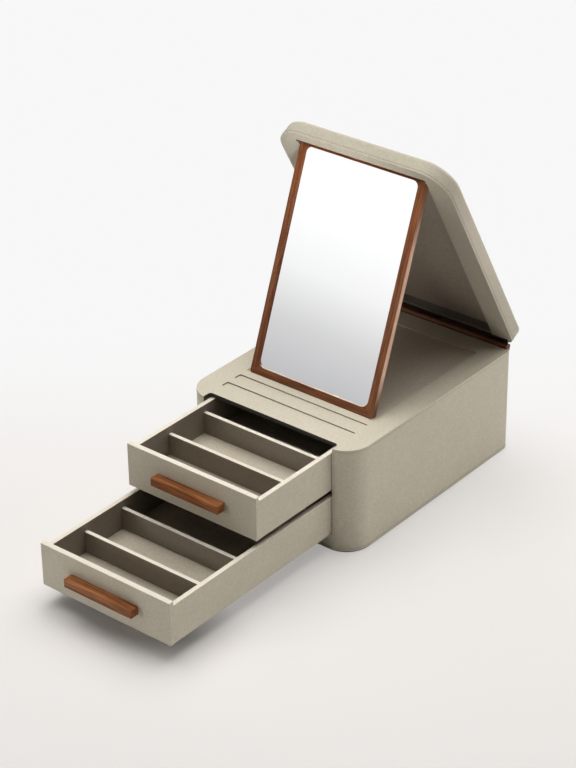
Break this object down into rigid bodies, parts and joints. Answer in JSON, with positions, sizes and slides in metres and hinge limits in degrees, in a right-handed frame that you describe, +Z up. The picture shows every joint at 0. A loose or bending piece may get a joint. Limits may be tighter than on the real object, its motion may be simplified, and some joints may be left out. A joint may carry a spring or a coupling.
{
  "type": "vanity box with mirror",
  "caption": "Leather-covered box with two drawers on slides, a raised hinged lid and a framed mirror that stands on its deck.",
  "frame": {"origin": "middle of the underside of the case, on the surface it stands on", "axes": "+X to the right seen from the drawer side, +Y to the back where the lid is hinged, +Z up"},
  "size_m": [0.24, 0.6063, 0.4096],
  "materials": {
    "leather": "satin",
    "lining": "matte",
    "board": "matte",
    "walnut": "satin",
    "base_dark": "matte",
    "mirror_glass": "polished",
    "steel": "satin",
    "rubber": "matte"
  },
  "bodies": {
    "case": {"base_plate": "base_dark", "case_leather": "leather", "front_rail": "board", "front_post_right": "board", "front_post_left": "board", "side_panel_right": "board", "side_panel_left": "board", "drawer_wall_right": "board", "drawer_wall_left": "board", "wall_battens": "board", "rear_panel": "board", "floor_panel": "lining", "shelf": "lining", "deck_board": "leather", "deck_border_right": "leather", "deck_border_left": "leather", "deck_border_front": "leather", "deck_border_rear": "leather", "groove_bar_front": "leather", "groove_bar_rear": "leather", "drawer_stops": "rubber", "lower_slide_rails": "steel", "upper_slide_rails": "steel", "hinge_rail_case": "walnut", "hinge_case_screws": "steel", "hinge_pin": "steel"},
    "lid": {"lid_leather": "leather", "lid_board": "board", "lid_rail_right": "leather", "lid_rail_left": "leather", "lid_rail_front": "leather", "lid_rail_rear": "leather", "lid_lining": "leather", "hinge_rail_lid": "walnut", "hinge_lid_screws": "steel", "mirror_pivot_plates": "steel"},
    "mirror": {"mirror_frame": "walnut", "mirror_glass": "mirror_glass", "mirror_backing": "board", "mirror_pivot_pins": "steel"},
    "lower_drawer": {"lower_drawer_front": "leather", "lower_drawer_side_right": "leather", "lower_drawer_side_left": "leather", "lower_drawer_back": "lining", "lower_drawer_bottom": "lining", "lower_drawer_dividers": "lining", "lower_drawer_handle": "walnut", "lower_drawer_handle_screws": "steel", "lower_drawer_slide_runners": "steel"},
    "upper_drawer": {"upper_drawer_front": "leather", "upper_drawer_side_right": "leather", "upper_drawer_side_left": "leather", "upper_drawer_back": "lining", "upper_drawer_bottom": "lining", "upper_drawer_dividers": "lining", "upper_drawer_handle": "walnut", "upper_drawer_handle_screws": "steel", "upper_drawer_slide_runners": "steel"},
    "lower_slide": {"lower_slide_middles": "steel"},
    "upper_slide": {"upper_slide_middles": "steel"}
  },
  "joints": [
    {"name": "lid_hinge", "type": "hinge", "parent": "case", "child": "lid", "pos_m": [0, 0.1518, 0.134], "axis": [-1, 0, 0], "range_deg": [0, 39.13]},
    {"name": "mirror_hinge", "type": "hinge", "parent": "lid", "child": "mirror", "pos_m": [0, 0.02199, 0.38541], "axis": [1, 0, 0], "range_deg": [0, 49.87]},
    {"name": "lower_drawer_slide", "type": "slide", "parent": "case", "child": "lower_drawer", "axis": [0, -1, 0], "range_m": [-0.2744, 0]},
    {"name": "upper_drawer_slide", "type": "slide", "parent": "case", "child": "upper_drawer", "axis": [0, -1, 0], "range_m": [-0.1336, 0.1408]},
    {"name": "lower_slide_middle", "type": "slide", "parent": "case", "child": "lower_slide", "axis": [0, -1, 0], "range_m": [-0.1372, 0]},
    {"name": "upper_slide_middle", "type": "slide", "parent": "case", "child": "upper_slide", "axis": [0, -1, 0], "range_m": [-0.0668, 0.0704]}
  ],
  "couplings": [
    {"joint": "mirror_hinge", "follows": "lid_hinge", "ratio": 1.2744},
    {"joint": "lower_slide_middle", "follows": "lower_drawer_slide", "ratio": 0.5},
    {"joint": "upper_slide_middle", "follows": "upper_drawer_slide", "ratio": 0.5}
  ]
}
